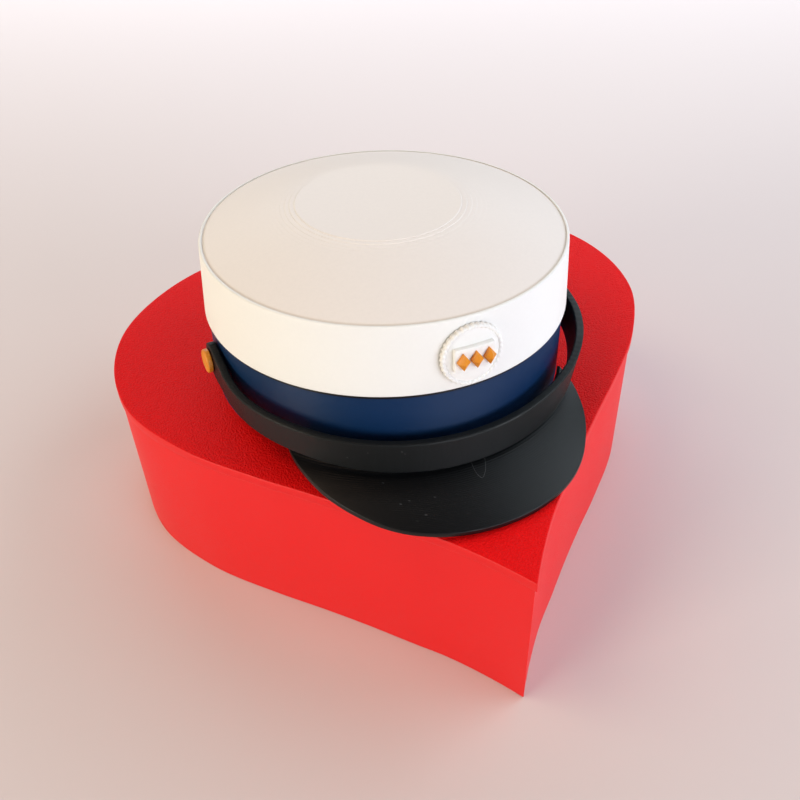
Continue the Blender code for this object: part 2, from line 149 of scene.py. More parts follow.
def arc(across, up, radius, fromTurn, toTurn, count):
    # points of a rounded corner about (across, up), by angle in degrees
    t = np.radians(np.linspace(fromTurn, toTurn, count))
    return np.stack([across + radius * np.cos(t), up + radius * np.sin(t)], axis=-1)


def turnedGrid(profile, steps):
    # the profile's (radius, height) places carried round the cap's axis
    turn = np.linspace(0, 2 * np.pi, steps, endpoint=False)
    profile = np.asarray(profile, float)
    return capPlace(polar(profile[:, :1], turn[None, :], profile[:, 1:]))


def ease(value):
    # 0 to 1 with level ends: 3 x^2 - 2 x^3
    x = np.clip(value, 0, 1)
    return x * x * (3 - 2 * x)


def spots(across, up, places, size):
    # soft round marks: 1 at each place, falling to 0 at its size
    far = [np.hypot(across - x, up - y) / (size * grow) for x, y, grow in places]
    core = 1.25  # the middle fifth is full
    return ease(core * (1 - np.minimum.reduce(far)))


# Printed plastics. Lengths are in mm, mottle and streak are shares, layerDepth and grainDepth are the
# heights of the raised lines and grain, and leaning finishes turn with the cap
# shadeColour is the colour of the painted shade that a surface's shade attribute lays on
looks = {
    "white": {
        "slot": "white_plastic", "colour": (0.87, 0.845, 0.82), "rough": 0.5, "specular": 0.3,
        "mottle": 0.015, "mottleSize": 0.9, "layer": 0.2, "layerDepth": 0.004,
        "shadeColour": (0.52, 0.42, 0.31), "leaning": True,
    },
    # the dome's copy of the white plastic, darker and warmer: painted shade for the dimmer, warmer light on
    # the crown's top
    "shadedWhiteDome": {
        "slot": "white_plastic", "colour": (0.87, 0.79, 0.745), "rough": 0.5, "specular": 0.3,
        "mottle": 0.025, "mottleSize": 0.9, "shadeColour": (0.52, 0.42, 0.31), "leaning": True,
    },
    "navy": {
        "slot": "navy_plastic", "colour": (0.0034, 0.0250, 0.0860), "rough": 0.40, "specular": 0.26,
        "mottle": 0.16, "mottleSize": 0.55, "layer": 0.2, "layerDepth": 0.030,
        "shadeColour": (0.006, 0.004, 0.003), "leaning": True,
    },
    "black": {
        "slot": "black_plastic", "colour": (0.0026, 0.0028, 0.0034), "rough": 0.36, "specular": 0.30,
        "mottle": 0.25, "mottleSize": 0.35, "layer": 0.2, "layerDepth": 0.006,
        "wearColour": (0.20, 0.21, 0.22), "leaning": True,
    },
    "charcoal": {
        "slot": "charcoal_plastic", "colour": (0.0036, 0.0046, 0.0052), "rough": 0.46, "specular": 0.27,
        "mottle": 0.20, "mottleSize": 0.35, "layer": 0.2, "layerDepth": 0.022, "streak": 0.25,
        "wearColour": (0.30, 0.31, 0.31), "leaning": True,
    },
    "gold": {
        "slot": "gold_plastic", "colour": (0.74, 0.262, 0.018), "rough": 0.36, "specular": 0.5,
        "mottle": 0.08, "mottleSize": 0.4, "layer": 0.2, "layerDepth": 0.010, "leaning": True,
    },
    "red": {
        "slot": "red_plastic", "colour": (0.80, 0.0060, 0.0078), "rough": 0.50, "specular": 0.4,
        "mottle": 0.03, "mottleSize": 1.2, "layer": 0.2, "layerDepth": 0.006, "leaning": False,
    },
    "redLid": {
        "slot": "red_plastic", "colour": (0.90, 0.0024, 0.0036), "rough": 0.55, "specular": 0.12,
        "mottle": 0.20, "mottleSize": 0.45, "grainSize": 0.5, "grainDepth": 0.5, "leaning": False,
    },
    "whisker": {
        "slot": "charcoal_plastic", "colour": (0.06, 0.062, 0.065), "rough": 0.4, "specular": 0.3,
        "mottle": 0.1, "mottleSize": 0.6, "leaning": True,
    },
}
# What all finishes share: how far the gloss strays, how fine the mottle goes, how the layers waver, and
# for the streaks how they are drawn out along Z, the scale of their noise, where in it they begin and are
# full, and how much paler they are
printed = {
    "glossSpread": 0.06, "mottleDetail": 3.0, "waver": 0.6, "squeeze": 0.05, "streaks": 1800.0,
    "streakFrom": 0.5, "streakFull": 0.75, "streakPale": 2.6,
}


def newFinish(name, look):
    # mottled colour and gloss, level layer lines, a raised grain, upright streaks, painted shade and pale
    # marks
    made = bpy.data.materials.new(name)
    made["slot"] = look["slot"]
    made.use_nodes = True
    tree = made.node_tree
    shader = tree.nodes["Principled BSDF"]
    shader.inputs["Specular IOR Level"].default_value = look["specular"]

    def node(kind, feeds, **values):
        # a new node with its sockets set by name, or fed from other nodes' sockets
        fresh = tree.nodes.new(kind)
        for socket, value in values.items():
            fresh.inputs[socket].default_value = value
        for socket, source in feeds.items():
            tree.links.new(source, fresh.inputs[socket])
        return fresh

    def blend(amount, plain, marked):
        # a colour mix, where plain is a colour or another node's socket
        mix = node("ShaderNodeMix", {})
        mix.data_type = "RGBA"
        tree.links.new(amount, mix.inputs["Factor"])
        if isinstance(plain, tuple):
            mix.inputs["A"].default_value = (*plain, 1)
        else:
            tree.links.new(plain, mix.inputs["A"])
        mix.inputs["B"].default_value = (*marked, 1)
        return mix.outputs["Result"]

    place = node("ShaderNodeTexCoord", {}).outputs["Object"]
    if look["leaning"]:
        turn = node("ShaderNodeMapping", {"Vector": place})
        turn.vector_type = "TEXTURE"
        turn.inputs["Rotation"].default_value = capLean
        place = turn.outputs["Vector"]
    fine = {"Scale": 1 / (look["mottleSize"] * mm), "Detail": printed["mottleDetail"]}
    mottle = node("ShaderNodeTexNoise", {"Vector": place}, **fine)
    spread = look["mottle"]
    deep = tuple((1 - spread) * c for c in look["colour"])
    pale = tuple(min((1 + spread) * c, 1) for c in look["colour"])
    colour = blend(mottle.outputs["Fac"], deep, pale)
    height = None
    if "layer" in look:
        lines = node("ShaderNodeTexWave", {"Vector": place}, Distortion=printed["waver"], Detail=1.0)
        lines.wave_type = "BANDS"
        lines.bands_direction = "Z"
        # the node's wave is 2 pi / 20 long at scale 1, so this gives one wave a layer
        lines.inputs["Scale"].default_value = math.pi / 10 / (look["layer"] * mm)
        bump = node("ShaderNodeBump", {"Height": lines.outputs["Fac"]}, Distance=look["layerDepth"] * mm)
        height = bump.outputs["Normal"]
    if "streak" in look:
        squeezed = node("ShaderNodeMapping", {"Vector": place}, Scale=(1, 1, printed["squeeze"]))
        along = {"Vector": squeezed.outputs["Vector"]}
        ticks = node("ShaderNodeTexNoise", along, Scale=printed["streaks"], Detail=1.0)
        soft = node("ShaderNodeMapRange", {"Value": ticks.outputs["Fac"]})
        soft.inputs["From Min"].default_value = printed["streakFrom"]
        soft.inputs["From Max"].default_value = printed["streakFull"]
        soft.inputs["To Max"].default_value = look["streak"]
        paler = tuple(printed["streakPale"] * c for c in look["colour"])
        colour = blend(soft.outputs["Result"], colour, paler)
    if "grainSize" in look:
        cells = node("ShaderNodeTexNoise", {"Vector": place}, Scale=1 / (look["grainSize"] * mm), Detail=2.0)
        raised = node("ShaderNodeBump", {"Height": cells.outputs["Fac"]}, Distance=look["grainDepth"] * mm)
        height = raised.outputs["Normal"]
    # painted shade: the shade attribute darkens the colour towards shadeColour where seams, corners and the
    # feet of raised parts would lie in shadow
    if "shadeColour" in look:
        shade = node("ShaderNodeAttribute", {})
        shade.attribute_name = "shade"
        colour = blend(shade.outputs["Fac"], colour, look["shadeColour"])
    if "wearColour" in look:
        wear = node("ShaderNodeAttribute", {})
        wear.attribute_name = "wear"
        colour = blend(wear.outputs["Fac"], colour, look["wearColour"])
    tree.links.new(colour, shader.inputs["Base Color"])
    gloss = node("ShaderNodeMapRange", {"Value": mottle.outputs["Fac"]})
    gloss.inputs["To Min"].default_value = look["rough"] - printed["glossSpread"]
    gloss.inputs["To Max"].default_value = look["rough"] + printed["glossSpread"]
    tree.links.new(gloss.outputs["Result"], shader.inputs["Roughness"])
    if height:
        tree.links.new(height, shader.inputs["Normal"])
    return made


finishes = {name: newFinish(name + "Print", look) for name, look in looks.items()}
print("finishes made")

heart = {
    "width": 164.4, "length": 162.0, "height": 46.8, "wall": 2.4, "floor": 2.4, "lid": 3.0, "overhang": 0.5,
    "rimDepth": 3.0, "rimWall": 1.6, "edge": 0.5, "lidEdge": 0.3, "gap": 0.3, "steps": 220, "edgeSteps": 5,
    # how far the lid's grain reaches down from its top
    "grainBand": 0.02,
    # shares by which the rings of a flat are drawn to the heart's middle, from its edge inwards
    "floorDraws": (0.1, 0.5, 0.9), "topDraws": (0.05, 0.2, 0.4, 0.6, 0.8, 0.97),
    "underDraws": (0.05, 0.3, 0.6, 0.97),
    # one side from the tip to the cleft, as shares of half the width and of the length
    "side": (
        (0.000, 0.000), (0.083, 0.061), (0.177, 0.120), (0.269, 0.168), (0.386, 0.230), (0.502, 0.288),
        (0.642, 0.355), (0.845, 0.467), (0.976, 0.592), (0.993, 0.713), (0.933, 0.817), (0.751, 0.924),
        (0.578, 0.977), (0.413, 1.000), (0.243, 0.985), (0.097, 0.929), (0.000, 0.864),
    ),
}


def meetMiddle(points):
    # cut or lengthen the start of one side's line so that it begins on the middle line
    first = int(np.argmax(points[:, 0] > 0))
    before, after = (points[first - 1], points[first]) if first > 0 else (points[0], points[1])
    middle = before - before[0] / (after[0] - before[0]) * (after - before)
    return np.vstack([[0.0, middle[1]], points[first:]])


def heartRing(inset, height, draw=0.0):
    # the lid's outline moved in along its normals by inset, then drawn towards its middle by a share
    side = smoothCurve(np.array(heart["side"]) * (heart["width"] / 2, heart["length"]), curveSteps)
    run = np.gradient(side, axis=0)
    run /= np.linalg.norm(run, axis=1)[:, None]
    moved = side + inset * np.stack([-run[:, 1], run[:, 0]], axis=-1)
    right = evenly(meetMiddle(meetMiddle(moved)[::-1])[::-1], heart["steps"])
    ring = np.vstack([right, right[-2:0:-1] * (-1, 1)])
    ring = ring + draw * (np.array([0, heart["length"] / 2]) - ring)
    return np.column_stack([ring, np.full(len(ring), height)])


def makeBox():
    # rings of (inset, height): round foot edge, outer wall, lip, inner wall, then in over the floor
    h = heart
    soft, top, steps = h["edge"], h["height"], h["edgeSteps"]
    outer, inner = h["overhang"], h["overhang"] + h["wall"]
    wall = np.vstack([
        arc(outer + soft, soft, soft, 270, 180, steps),
        arc(outer + soft, top - soft, soft, 180, 90, steps),
        arc(inner - soft, top - soft, soft, 90, 0, steps),
        [(inner, h["floor"])],
    ])
    foot = [heartRing(outer + soft, 0, draw) for draw in h["floorDraws"][::-1]]
    floor = [heartRing(inner, h["floor"], draw) for draw in h["floorDraws"]]
    grid = np.stack(foot + [heartRing(*ring) for ring in wall] + floor)
    return surface("heartBox", boxPlace(grid), finishes["red"], "box_body")


def makeLid():
    # rings from the middle of the top out over its edge, round under it, down its rim and back in
    h = heart
    under = h["height"] + h["gap"]
    top, bottom = under + h["lid"], under - h["rimDepth"]
    rim, soft, low = h["overhang"] + h["wall"] + h["gap"], h["lidEdge"], h["edge"] / 2
    edge = np.vstack([
        arc(soft, top - soft, soft, 90, 180, h["edgeSteps"]),
        arc(low, under + low, low, 180, 270, h["edgeSteps"] - 1),
        [(rim, under), (rim, bottom + h["edge"]), (rim + h["edge"], bottom)],
        [(rim + h["rimWall"], bottom), (rim + h["rimWall"], under)],
    ])
    topRings = [heartRing(soft, top, draw) for draw in h["topDraws"][::-1]]
    underRings = [heartRing(rim + h["rimWall"], under, draw) for draw in h["underDraws"]]
    grid = np.stack(topRings + [heartRing(*ring) for ring in edge] + underRings)
    lid = surface("heartLid", boxPlace(grid), finishes["redLid"], "box_lid")
    # only the flat top carries the grain: every face further down takes the box's smooth finish
    lid.data.materials.append(finishes["red"])
    middles = np.empty(3 * len(lid.data.polygons))
    lid.data.polygons.foreach_get("center", middles)
    smooth = (middles[2::3] < (top - h["grainBand"]) * mm).astype(np.int32)
    lid.data.polygons.foreach_set("material_index", smooth)
    return lid


makeBox()
makeLid()
print("box and lid made")

crown = {
    "bottom": 22.2, "top": 41.6, "radius": 49.7, "rimRadius": 48.8, "seatRadius": 47.9, "wall": 1.6,
    "lip": 1.6, "mouth": 46.9, "footEdge": 0.45, "rimEdge": 0.5, "lipEdge": 0.25, "ledge": 1.6, "seat": 2.2,
    "faceRows": 60, "edgeSteps": 8, "lipSteps": 5, "steps": 360,
    # painted shade along the seam at the rim's lip: how dark, how far out, how softly it ends, how deep
    "seamShade": 0.25, "seamOut": 0.42, "seamSoft": 0.3, "seamDepth": 1.0,
}
dome = {
    "radius": 47.86, "rise": 7.0, "flatRadius": 21.6, "thickness": 1.8, "foot": 3.6, "lift": 0.3,
    # printed layers, which show near the disc and fade out over the shown width
    "layer": 0.24, "riser": 0.14, "shownWidth": 3.2, "drift": (-0.9, 1.5),
    # the outer edge: its depth under the rim, width, dip, the darkness of its painted shade, and where that
    # shade begins and is full
    "seam": 0.14, "seamWidth": 0.6, "seamDip": 0.08, "seamShade": 0.35, "shadeStart": 0.15, "shadeFull": 0.5,
    "shadeDepth": 0.3,
    # rows are coarse from the edge to the fine radius, then fine up to the disc's border, then coarse
    "fineRadius": 36, "border": 0.4, "pole": 0.4, "edgeRows": 30, "fineRows": 190, "discRows": 14,
    "seamRows": 9, "underRows": 30, "steps": 300,
}


def terraced(height, layer, riser):
    # a height cut into level layers, each joined to the next by a short smooth riser
    level = height / layer
    return layer * (np.floor(level) + ease((level - np.floor(level) - (1 - riser)) / riser))


def makeCrown():
    # drum profile from the mouth, under the foot, up the face, over the rim and back down inside
    c = crown
    face = np.linspace(0, 1, c["faceRows"])[1:-1, None]
    low, high = c["bottom"] + c["footEdge"], c["top"] - c["rimEdge"]
    seat, ledge = c["top"] - c["seat"], c["seatRadius"] - c["ledge"]
    upperWall = c["rimRadius"] - c["wall"]
    profile = np.vstack([
        [(c["mouth"], c["bottom"])],
        arc(c["radius"] - c["footEdge"], low, c["footEdge"], -90, 0, c["edgeSteps"]),
        np.array([c["radius"], low]) + face * np.array([c["rimRadius"] - c["radius"], high - low]),
        arc(c["rimRadius"] - c["rimEdge"], high, c["rimEdge"], 0, 90, c["edgeSteps"]),
        arc(c["seatRadius"] + c["lipEdge"], c["top"] - c["lipEdge"], c["lipEdge"], 90, 180, c["lipSteps"]),
        [(c["seatRadius"], seat), (ledge, seat), (ledge, seat - c["ledge"])],
        [(upperWall, seat - c["ledge"] - (upperWall - ledge))],
        [(c["radius"] - c["wall"], c["bottom"] + c["lip"]), (c["mouth"], c["bottom"] + c["lip"])],
    ])
    radius, height = profile[:, :1], profile[:, 1:]
    # painted shade in the seam between the rim's lip and the dome
    inner = ease((radius - c["seatRadius"] + c["seamSoft"]) / c["seamSoft"])
    outer = ease((c["seatRadius"] + c["seamOut"] - radius) / c["seamSoft"])
    marks = {"shade": c["seamShade"] * inner * outer * (height > c["top"] - c["seamDepth"])}
    grid = turnedGrid(profile, c["steps"])
    return surface("crownDrum", grid, finishes["white"], "crown", closedRows=True, marks=marks)


def makeDome():
    # height over the edge = rise * (rim^2 - r^2) / (rim^2 - flat^2) past the flat disc, terraced near it
    d = dome
    base, rim = crown["top"] - d["seam"], d["radius"]
    reach = rim**2 - d["flatRadius"] ** 2

    def lift(radius):
        return d["rise"] * (rim**2 - np.maximum(radius, d["flatRadius"]) ** 2) / reach

    start, border = rim - d["seamWidth"], d["flatRadius"] - d["border"]
    over = np.concatenate([
        np.linspace(start, d["fineRadius"], d["edgeRows"])[:-1],
        np.linspace(d["fineRadius"], border, d["fineRows"]),
        np.linspace(border, d["pole"], d["discRows"])[1:],
    ])
    height = lift(over)
    shown = np.exp(-np.maximum(over - d["flatRadius"], 0) / d["shownWidth"])
    height = height + shown * (terraced(height, d["layer"], d["riser"]) - height)
    dip = np.linspace(0, 1, d["seamRows"])[:, None]
    sunk = lift(start) * dip - d["seamDip"] * np.cos(dip * np.pi / 2)
    seam = np.hstack([rim - d["seamWidth"] * dip, base + sunk])[:-1]
    under = np.linspace(d["pole"], rim - d["foot"], d["underRows"])
    foot = crown["top"] - crown["seat"] + d["lift"]
    profile = np.vstack([
        np.stack([under, base + lift(under) - d["thickness"]], axis=-1),
        [(rim - d["foot"], foot), (rim, foot)], seam, np.stack([over, base + height], axis=-1),
    ])
    # painted shade along the dome's outer edge, in the seam under the rim
    edge = ease((profile[:, :1] - start + d["shadeStart"]) / d["shadeFull"])
    marks = {"shade": d["seamShade"] * edge * (profile[:, 1:] > base - d["shadeDepth"])}
    # the disc stands a little off the middle: each ring's centre drifts back to it towards the rim
    turn = np.linspace(0, 2 * np.pi, d["steps"], endpoint=False)[None, :]
    grid = polar(profile[:, :1], turn, profile[:, 1:])
    upper = (np.arange(len(profile)) >= len(under) + 2)[:, None, None]
    share = ease((rim - profile[:, :1, None]) / (rim - d["flatRadius"]))
    grid = grid + upper * share * np.array([*d["drift"], 0])
    # the dome takes the darker, warmer copy of the white plastic: painted shade
    return surface("crownDome", capPlace(grid), finishes["shadedWhiteDome"], "crown_top", sharp=35, marks=marks)


makeCrown()
makeDome()
print("crown made")

band = {
    "radius": 48.9, "height": 21.9, "wall": 2.0, "edge": 0.25, "spigotRadius": 46.6, "spigotWall": 1.5,
    "spigotTop": 25.2, "edgeSteps": 4, "steps": 360,
    # the outer face: rows up to a height, then closer rows for the painted shade in the corner under the
    # crown
    "lowTop": 20.4, "lowRows": 12, "highFoot": 20.5, "highRows": 14,
    # the painted shade's lower edge, how softly it ends, and how far in from the face it is still drawn
    "cornerLine": 21.0, "cornerSoft": 0.35, "cornerDepth": 0.3,
}


def makeBand():
    # ring profile: foot, outer face, top and the spigot that centres the crown
    b = band
    inside, shoulder = b["radius"] - b["wall"], b["height"] - b["wall"]
    spigotInside = b["spigotRadius"] - b["spigotWall"]
    up = np.concatenate([
        np.linspace(b["edge"], b["lowTop"], b["lowRows"])[1:],
        np.linspace(b["highFoot"], b["height"] - b["edge"], b["highRows"])[:-1],
    ])
    profile = np.vstack([
        [(inside, 0)],
        arc(b["radius"] - b["edge"], b["edge"], b["edge"], -90, 0, b["edgeSteps"]),
        np.stack([np.full(len(up), b["radius"]), up], axis=-1),
        arc(b["radius"] - b["edge"], b["height"] - b["edge"], b["edge"], 0, 90, b["edgeSteps"]),
        [(b["spigotRadius"], b["height"]), (b["spigotRadius"], b["spigotTop"])],
        [(spigotInside, b["spigotTop"]), (spigotInside, shoulder)],
        [(inside, shoulder - (inside - spigotInside))],
    ])
    # painted shade: a dark line in the corner under the crown's overhang
    corner = ease((profile[:, 1:] - b["cornerLine"]) / b["cornerSoft"])
    marks = {"shade": corner * (profile[:, :1] > b["radius"] - b["cornerDepth"])}
    grid = turnedGrid(profile, b["steps"])
    return surface("capBand", grid, finishes["navy"], "band", closedRows=True, marks=marks)


makeBand()
print("band made")

peak = {
    "root": 49.2, "bandRadius": 48.9, "projection": 21.8, "halfSpan": 54.5, "thickness": 1.4, "drop": 6.4,
    "bend": 1.3, "layer": 0.16, "layerShare": 0.55, "riser": 0.4, "edge": 0.3, "columns": 270, "rows": 310,
    "backRows": 24,
    # where the rows lie round the outer edge's upper and lower corner, in degrees
    "upperTurns": (67.5, 45, 22.5, 0), "lowerTurns": (0, 30, 60, 90),
    # shares of the projection at shares of the half span
    "side": (
        (0.000, 1.000), (0.165, 0.981), (0.275, 0.940), (0.367, 0.888), (0.477, 0.792), (0.569, 0.684),
        (0.697, 0.522), (0.826, 0.332), (0.927, 0.178), (1.000, 0.050),
    ),
    # pale specks on the upper face: degrees from the front, radius, size as a share
    "specks": (
        (-25.4, 55.5, 1.0), (-25.5, 59.6, 0.9), (-21.2, 61.3, 1.1), (-19.3, 60.6, 0.8), (-16.0, 64.6, 0.9),
        (-17.9, 65.9, 1.0), (-13.2, 60.4, 0.8), (-7.0, 66.1, 0.7), (4.0, 63.0, 0.6), (16.5, 61.8, 0.7),
    ),
    "speckSize": 0.22, "speckAmount": 0.3, "speckFoot": 0.3,
}


def peakFall(radius):
    # the fall below the root: drop * (share of the full reach)^bend
    share = (radius - peak["root"]) / (peak["bandRadius"] + peak["projection"] - peak["root"])
    return peak["drop"] * np.clip(share, 0, 1) ** peak["bend"]


def makePeak():
    # sections across the angle: out over the upper face in printed layers, round the edge, back below
    p = peak
    share = np.linspace(-1, 1, p["columns"])[:, None]
    edge = p["bandRadius"] + p["projection"] * mirrored(p["side"], share)
    inset = np.minimum(p["edge"], (edge - p["root"]) / 3)  # at most a third of the way in
    upR = p["root"] + np.linspace(0, 1, p["rows"])[None, :] * (edge - inset - p["root"])
    down = peakFall(upR)
    upZ = p["thickness"] - down - p["layerShare"] * (terraced(down, p["layer"], p["riser"]) - down)
    turnUp, turnDown = np.radians([p["upperTurns"]]), np.radians([p["lowerTurns"]])
    edgeR, edgeZ = edge - inset * (1 - np.cos(turnUp)), upZ[:, -1:] - p["edge"] * (1 - np.sin(turnUp))
    lowR = edge - inset * (1 - np.cos(turnDown))
    lowZ = p["edge"] * (1 - np.sin(turnDown)) - peakFall(lowR)
    backR = p["root"] + np.linspace(1, 0, p["backRows"])[None, 1:] * (edge - inset - p["root"])
    radius = np.hstack([upR, edgeR, lowR, backR])
    height = np.hstack([upZ, edgeZ, lowZ, -peakFall(backR)])
    turn = np.radians(p["halfSpan"]) * share
    places = [(r * math.sin(math.radians(t)), -r * math.cos(math.radians(t)), s) for t, r, s in p["specks"]]
    wear = p["speckAmount"] * spots(radius * np.sin(turn), -radius * np.cos(turn), places, p["speckSize"])
    wear = wear * (height > p["speckFoot"] - peakFall(radius))
    grid = capPlace(polar(radius, turn, height))
    return surface("visor", grid, finishes["black"], "peak", marks={"wear": wear})


makePeak()
print("peak made")

strap = {
    "width": 9.2, "thickness": 2.2, "halfSpan": 88.5, "middle": 6.6, "rise": 8.0, "standoff": 3.5,
    "innerRadius": 49.2, "edge": 0.45, "tipWidth": 0.12, "columns": 700, "tipSteps": 26, "faceRows": 36,
    "edgeSteps": 6,
    # shares of the rise and of the standoff at shares of the half span
    "riseSide": (
        (0, 0), (0.226, 0.05), (0.43, 0.21), (0.565, 0.36), (0.655, 0.43), (0.734, 0.50), (0.802, 0.57),
        (0.859, 0.66), (0.915, 0.80), (1, 1),
    ),
    "offSide": (
        (0, 1), (0.226, 1), (0.43, 1), (0.565, 0.95), (0.655, 0.86), (0.734, 0.73), (0.802, 0.52),
        (0.859, 0.32), (0.915, 0.12), (1, 0),
    ),
    # pale specks on the outer face: degrees from the front, mm over the middle line, size as a share
    "specks": ((-20.4, 2.6, 1.0), (-19.6, 1.9, 0.8), (-34.4, -0.6, 0.9), (-29.0, 1.9, 0.8), (31.0, 0.8, 0.7)),
    "speckSize": 0.22, "speckAmount": 0.3, "speckDepth": 0.05,
    # how much further out the upper edge stands than the lower at the sides, as a slope
    "leanSide": ((0, 0), (0.3, 0.05), (0.5, 0.16), (0.75, 0.16), (0.9, 0.06), (1, 0)),
    # rubbed stretches of the edges: from and to in degrees, 1 for the upper edge or -1 for the lower, amount
    "rubs": ((4.5, 14.5, 1, 0.3), (-14.2, -10.9, -1, 0.4), (-9.4, -6.2, -1, 0.35)),
    # how softly a rub ends in degrees, how wide and deep it is, how ragged, and the speed of its two
    # ripples in radians to a degree
    "rubSoft": 1.2, "rubWidth": 0.45, "rubDepth": 0.2, "rubRagged": 0.4, "rubWaves": (9.0, 23.0),
}


def strapInner(share):
    # radius of the strap's inner face at a share of its half span
    return strap["innerRadius"] + strap["standoff"] * mirrored(strap["offSide"], np.clip(share, -1, 1))


def strapMiddle(share):
    # height of the strap's middle line at a share of its half span
    return strap["middle"] + strap["rise"] * mirrored(strap["riseSide"], np.clip(share, -1, 1))


def makeStrap():
    # a rounded bar's section carried round the front, its width falling as a half circle at each end
    s = strap
    span, half = np.radians(s["halfSpan"]), s["width"] / 2
    tips = np.linspace(math.asin(s["tipWidth"] / half), np.pi / 2, s["tipSteps"])[:-1]
    past = span + half / (s["innerRadius"] + s["thickness"]) * np.cos(tips)
    turn = np.concatenate([-past, np.linspace(-span, span, s["columns"]), past[::-1]])[:, None]
    width = np.concatenate([np.sin(tips), np.ones(s["columns"]), np.sin(tips[::-1])])[:, None]
    inner, middle = strapInner(turn / span), strapMiddle(turn / span)
    soft = np.minimum(s["edge"], 0.5 * half * width)  # the edges' rounding, less at the tips
    corner = np.radians(np.linspace(0, 90, s["edgeSteps"]))[None, :]
    down, across = 1 - np.sin(corner), 1 - np.cos(corner)
    outer, level = inner + s["thickness"], half * width
    face = np.linspace(-1, 1, s["faceRows"])[None, 1:-1]
    radius = np.hstack([
        outer + 0 * face, outer - s["edge"] * across, inner + s["edge"] * down,
        inner + s["edge"] * across, outer - s["edge"] * down,
    ])
    height = np.hstack([
        face * (level - soft), level - soft * down, level - soft * across,
        soft * down - level, soft * across - level,
    ])
    degrees, bend = np.degrees(turn), s["innerRadius"] + s["thickness"]
    specks = [(np.radians(t) * bend, up, size) for t, up, size in s["specks"]]
    wear = s["speckAmount"] * spots(turn * bend + 0 * height, height, specks, s["speckSize"])
    wear = wear * (radius > outer - s["speckDepth"])
    long, short = s["rubWaves"]
    ragged = 1 - s["rubRagged"] * (1 - np.sin(degrees * long) * np.sin(degrees * short))
    for start, end, side, amount in s["rubs"]:
        stretch = ease((degrees - start) / s["rubSoft"]) * ease((end - degrees) / s["rubSoft"])
        near = ease(1 - (level - side * height) / s["rubWidth"]) * ease(1 - (outer - radius) / s["rubDepth"])
        wear = np.maximum(wear, amount * stretch * ragged * near)
    radius = radius + mirrored(s["leanSide"], np.clip(turn / span, -1, 1)) * height
    grid = capPlace(polar(radius, turn, middle + height))
    return surface("chinStrap", grid, finishes["charcoal"], "chin_strap", marks={"wear": wear})


whisker = {
    # a thin loop of stray plastic that hangs from the strap's lower edge over the peak: each point's
    # degrees from the front, radius and height
    "points": ((-1.6, 54.7, 1.9), (-1.9, 56.6, 1.6), (-1.7, 58.4, 0.95), (-0.9, 59.3, 0.35),
               (0.1, 58.6, 0.85), (1.3, 56.8, 1.6), (2.3, 54.7, 1.9)),
    "radius": 0.045, "sides": 8, "spanSteps": 16, "rings": 60, "across": (0, -1, 0.4),
}


def makeWhisker():
    # a tube: a circle in the plane of two normals at each point of a smooth line
    w = whisker
    turn, radius, height = np.array(w["points"]).T
    line = evenly(smoothCurve(polar(radius, np.radians(turn), height), w["spanSteps"]), w["rings"])
    run = np.gradient(line, axis=0)
    run /= np.linalg.norm(run, axis=1)[:, None]
    side = np.cross(run, w["across"])
    side /= np.linalg.norm(side, axis=1)[:, None]
    t = np.linspace(0, 2 * np.pi, w["sides"], endpoint=False)[None, :, None]
    ring = np.cos(t) * side[:, None] + np.sin(t) * np.cross(run, side)[:, None]
    return surface("strayWhisker", capPlace(line[:, None] + w["radius"] * ring), finishes["whisker"])


makeStrap()
makeWhisker()
print("strap made")

button = {
    "radius": 3.2, "thickness": 1.4, "edge": 0.35, "backEdge": 0.15, "pole": 0.05, "back": 51.7,
    # the dish: its depth, the width of its upper and whole wall, and how deep its upper wall reaches
    "dish": 0.2, "rim": 0.25, "wall": 0.5, "rimShare": 0.7,
    # the boss in the dish: its radius, its slope's width, its rounding and its flat
    "bossRadius": 1.1, "bossSlope": 0.35, "bossRound": 0.04, "bossFlat": 0.6, "edgeSteps": 7, "steps": 96,
}


def makeButton(name, side, stands):
    # a dished disc's profile turned about a line out from the cap's axis
    b = button
    top, floor = b["thickness"], b["thickness"] - b["dish"]
    inner = b["radius"] - b["edge"]
    profile = np.vstack([
        [(b["pole"], 0), (b["radius"] - b["backEdge"], 0), (b["radius"], b["backEdge"])],
        arc(inner, top - b["edge"], b["edge"], 0, 90, b["edgeSteps"]),
        [(inner - b["rim"], top - b["dish"] * b["rimShare"]), (inner - b["wall"], floor)],
        [(b["bossRadius"] + b["bossSlope"], floor), (b["bossRadius"], top - b["bossRound"])],
        [(b["bossFlat"], top), (b["pole"], top)],
    ])
    around = np.linspace(0, 2 * np.pi, b["steps"], endpoint=False)[None, :, None]
    turn = side * math.radians(strap["halfSpan"])
    across = np.array([math.cos(turn), math.sin(turn), 0])
    out = np.array([math.sin(turn), -math.cos(turn), 0])
    up = np.array([0, 0, 1])
    radius, lift = profile[:, None, :1], profile[:, None, 1:]
    grid = (b["back"] + lift) * out + float(strapMiddle(1.0)) * up
    grid = grid + radius * (np.cos(around) * across + np.sin(around) * up)
    return surface(name, capPlace(grid), finishes["gold"], stands)


makeButton("buttonLeft", 1, "strap_button_left")
makeButton("buttonRight", -1, "strap_button_right")
print("buttons made")

